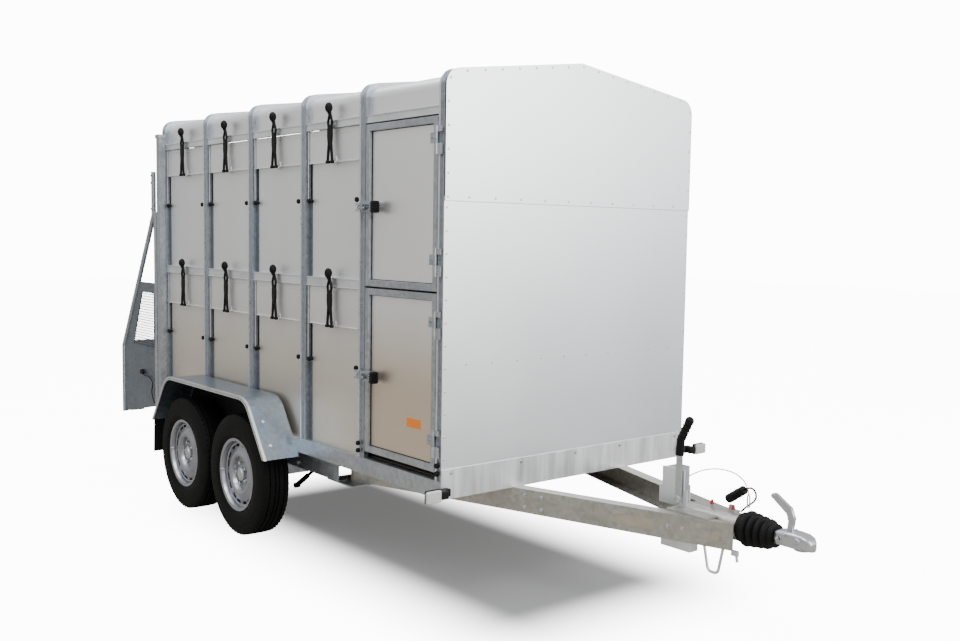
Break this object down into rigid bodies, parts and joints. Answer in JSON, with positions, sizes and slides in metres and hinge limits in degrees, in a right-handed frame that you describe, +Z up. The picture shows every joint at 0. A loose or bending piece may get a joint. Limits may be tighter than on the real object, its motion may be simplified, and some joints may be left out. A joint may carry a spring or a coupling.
{
  "type": "livestock trailer",
  "caption": "Two-deck towed trailer for small livestock, with sliding side vents, side doors, overrun coupling and a rear platform lift.",
  "frame": {"origin": "centre of the bounding box at ground level", "axes": "X across, -Y towards the tow hitch, Z up; the doors are on the -X (kerb) side"},
  "size_m": [1.93, 4.792, 2.3573],
  "materials": {
    "galvanised": "spangled galvanised steel",
    "aluminium_sheet": "plain bright sheet",
    "deck": "coated plywood",
    "rubber": "black rubber",
    "tyre": "black tyre on a silver steel rim",
    "black_plastic": "black plastic",
    "lamp_plastic": "white lens on a black arm",
    "zinc": "zinc-plated steel"
  },
  "bodies": {
    "chassis": {"chassis_frame": "galvanised", "drawbar_beams": "galvanised", "deck_boards": "deck", "posts_and_bows": "galvanised", "side_rails": "galvanised", "side_skins": "aluminium_sheet", "roof_skin": "aluminium_sheet", "front_panels": "aluminium_sheet", "rear_frame": "galvanised", "flap_guides": "galvanised", "rubber_stops": "rubber", "door_hinges": "zinc", "mudguards": "galvanised", "axles": "galvanised", "overrun_housing": "galvanised", "drawbar_fittings": "galvanised", "marker_lamps": "lamp_plastic", "lift_masts": "galvanised", "bellows": "rubber", "parked_plug": "black_plastic", "plug_lead": "black_plastic", "breakaway_cable": "zinc", "breakaway_hook": "zinc"},
    "wheel_right_front": {"wheel_right_front": "tyre"},
    "wheel_right_rear": {"wheel_right_rear": "tyre"},
    "wheel_left_front": {"wheel_left_front": "tyre"},
    "wheel_left_rear": {"wheel_left_rear": "tyre"},
    "flap_right_lower_1": {"flap_right_lower_1": "aluminium_sheet"},
    "flap_right_lower_2": {"flap_right_lower_2": "aluminium_sheet"},
    "flap_right_lower_3": {"flap_right_lower_3": "aluminium_sheet"},
    "flap_right_lower_4": {"flap_right_lower_4": "aluminium_sheet"},
    "flap_right_upper_1": {"flap_right_upper_1": "aluminium_sheet"},
    "flap_right_upper_2": {"flap_right_upper_2": "aluminium_sheet"},
    "flap_right_upper_3": {"flap_right_upper_3": "aluminium_sheet"},
    "flap_right_upper_4": {"flap_right_upper_4": "aluminium_sheet"},
    "flap_left_lower_1": {"flap_left_lower_1": "aluminium_sheet"},
    "flap_left_lower_2": {"flap_left_lower_2": "aluminium_sheet"},
    "flap_left_lower_3": {"flap_left_lower_3": "aluminium_sheet"},
    "flap_left_lower_4": {"flap_left_lower_4": "aluminium_sheet"},
    "flap_left_upper_1": {"flap_left_upper_1": "aluminium_sheet"},
    "flap_left_upper_2": {"flap_left_upper_2": "aluminium_sheet"},
    "flap_left_upper_3": {"flap_left_upper_3": "aluminium_sheet"},
    "flap_left_upper_4": {"flap_left_upper_4": "aluminium_sheet"},
    "side_door_lower": {"side_door_lower": "aluminium_sheet"},
    "door_latch_lower": {"door_latch_lower": "zinc"},
    "side_door_upper": {"side_door_upper": "aluminium_sheet"},
    "door_latch_upper": {"door_latch_upper": "zinc"},
    "brake_lever": {"brake_lever": "galvanised"},
    "coupling": {"coupling_head": "zinc"},
    "coupling_handle": {"coupling_handle": "zinc"},
    "lift": {"lift_guards": "galvanised", "lift_platform": "galvanised", "lift_cable": "black_plastic", "lift_plug": "black_plastic"},
    "ram_stages": {"ram_stages": "galvanised"},
    "ramp_flap": {"ramp_flap": "galvanised"},
    "gate_lower_right": {"gate_lower_right": "galvanised"},
    "gate_lower_left": {"gate_lower_left": "galvanised"},
    "gate_upper_right": {"gate_upper_right": "galvanised"},
    "gate_upper_left": {"gate_upper_left": "galvanised"}
  },
  "joints": [
    {"name": "wheel_right_front_spin", "type": "hinge", "parent": "chassis", "child": "wheel_right_front", "pos_m": [-0.858, 0.43, 0.318], "axis": [1, 0, 0], "continuous": true},
    {"name": "wheel_right_rear_spin", "type": "hinge", "parent": "chassis", "child": "wheel_right_rear", "pos_m": [-0.858, 1.095, 0.318], "axis": [1, 0, 0], "continuous": true},
    {"name": "wheel_left_front_spin", "type": "hinge", "parent": "chassis", "child": "wheel_left_front", "pos_m": [0.858, 0.43, 0.318], "axis": [1, 0, 0], "continuous": true},
    {"name": "wheel_left_rear_spin", "type": "hinge", "parent": "chassis", "child": "wheel_left_rear", "pos_m": [0.858, 1.095, 0.318], "axis": [1, 0, 0], "continuous": true},
    {"name": "flap_right_lower_1_slide", "type": "slide", "parent": "chassis", "child": "flap_right_lower_1", "axis": [0, 0, -1], "range_m": [0, 0.165]},
    {"name": "flap_right_lower_2_slide", "type": "slide", "parent": "chassis", "child": "flap_right_lower_2", "axis": [0, 0, -1], "range_m": [0, 0.165]},
    {"name": "flap_right_lower_3_slide", "type": "slide", "parent": "chassis", "child": "flap_right_lower_3", "axis": [0, 0, -1], "range_m": [0, 0.165]},
    {"name": "flap_right_lower_4_slide", "type": "slide", "parent": "chassis", "child": "flap_right_lower_4", "axis": [0, 0, -1], "range_m": [0, 0.165]},
    {"name": "flap_right_upper_1_slide", "type": "slide", "parent": "chassis", "child": "flap_right_upper_1", "axis": [0, 0, -1], "range_m": [0, 0.165]},
    {"name": "flap_right_upper_2_slide", "type": "slide", "parent": "chassis", "child": "flap_right_upper_2", "axis": [0, 0, -1], "range_m": [0, 0.165]},
    {"name": "flap_right_upper_3_slide", "type": "slide", "parent": "chassis", "child": "flap_right_upper_3", "axis": [0, 0, -1], "range_m": [0, 0.165]},
    {"name": "flap_right_upper_4_slide", "type": "slide", "parent": "chassis", "child": "flap_right_upper_4", "axis": [0, 0, -1], "range_m": [0, 0.165]},
    {"name": "flap_left_lower_1_slide", "type": "slide", "parent": "chassis", "child": "flap_left_lower_1", "axis": [0, 0, -1], "range_m": [0, 0.165]},
    {"name": "flap_left_lower_2_slide", "type": "slide", "parent": "chassis", "child": "flap_left_lower_2", "axis": [0, 0, -1], "range_m": [0, 0.165]},
    {"name": "flap_left_lower_3_slide", "type": "slide", "parent": "chassis", "child": "flap_left_lower_3", "axis": [0, 0, -1], "range_m": [0, 0.165]},
    {"name": "flap_left_lower_4_slide", "type": "slide", "parent": "chassis", "child": "flap_left_lower_4", "axis": [0, 0, -1], "range_m": [0, 0.165]},
    {"name": "flap_left_upper_1_slide", "type": "slide", "parent": "chassis", "child": "flap_left_upper_1", "axis": [0, 0, -1], "range_m": [0, 0.165]},
    {"name": "flap_left_upper_2_slide", "type": "slide", "parent": "chassis", "child": "flap_left_upper_2", "axis": [0, 0, -1], "range_m": [0, 0.165]},
    {"name": "flap_left_upper_3_slide", "type": "slide", "parent": "chassis", "child": "flap_left_upper_3", "axis": [0, 0, -1], "range_m": [0, 0.165]},
    {"name": "flap_left_upper_4_slide", "type": "slide", "parent": "chassis", "child": "flap_left_upper_4", "axis": [0, 0, -1], "range_m": [0, 0.165]},
    {"name": "side_door_lower_hinge", "type": "hinge", "parent": "chassis", "child": "side_door_lower", "pos_m": [-0.775, -1.078, 0.9], "axis": [0, 0, 1], "range_deg": [0, 170]},
    {"name": "door_latch_lower_slide", "type": "slide", "parent": "side_door_lower", "child": "door_latch_lower", "axis": [0, -1, 0], "range_m": [0, 0.034]},
    {"name": "side_door_upper_hinge", "type": "hinge", "parent": "chassis", "child": "side_door_upper", "pos_m": [-0.775, -1.078, 1.7], "axis": [0, 0, 1], "range_deg": [0, 170]},
    {"name": "door_latch_upper_slide", "type": "slide", "parent": "side_door_upper", "child": "door_latch_upper", "axis": [0, -1, 0], "range_m": [0, 0.034]},
    {"name": "brake_lever_hinge", "type": "hinge", "parent": "chassis", "child": "brake_lever", "pos_m": [-0.052, -1.792, 0.512], "axis": [1, 0, 0], "range_deg": [0, 50]},
    {"name": "overrun_slide", "type": "slide", "parent": "chassis", "child": "coupling", "axis": [0, 1, 0], "range_m": [0, 0.07], "deforming": ["bellows"]},
    {"name": "coupling_handle_hinge", "type": "hinge", "parent": "coupling", "child": "coupling_handle", "pos_m": [0, -2.29, 0.484], "axis": [1, 0, 0], "range_deg": [0, 40]},
    {"name": "lift_slide", "type": "slide", "parent": "chassis", "child": "lift", "axis": [0, 0, 1], "range_m": [-0.36, 0.82]},
    {"name": "ram_stage_slide", "type": "slide", "parent": "chassis", "child": "ram_stages", "axis": [0, 0, 1], "range_m": [-0.18, 0.41]},
    {"name": "ramp_flap_hinge", "type": "hinge", "parent": "lift", "child": "ramp_flap", "pos_m": [0, 2.364, 0.512], "axis": [-1, 0, 0], "range_deg": [0, 110]},
    {"name": "gate_lower_right_hinge", "type": "hinge", "parent": "chassis", "child": "gate_lower_right", "pos_m": [-0.704, 1.729, 0.9], "axis": [0, 0, -1], "range_deg": [0, 85]},
    {"name": "gate_lower_left_hinge", "type": "hinge", "parent": "chassis", "child": "gate_lower_left", "pos_m": [0.704, 1.729, 0.9], "axis": [0, 0, 1], "range_deg": [0, 85]},
    {"name": "gate_upper_right_hinge", "type": "hinge", "parent": "chassis", "child": "gate_upper_right", "pos_m": [-0.704, 1.773, 1.7], "axis": [0, 0, 1], "range_deg": [0, 88]},
    {"name": "gate_upper_left_hinge", "type": "hinge", "parent": "chassis", "child": "gate_upper_left", "pos_m": [0.704, 1.773, 1.7], "axis": [0, 0, -1], "range_deg": [0, 88]}
  ],
  "couplings": [
    {"joint": "ram_stage_slide", "follows": "lift_slide", "ratio": 0.5}
  ]
}
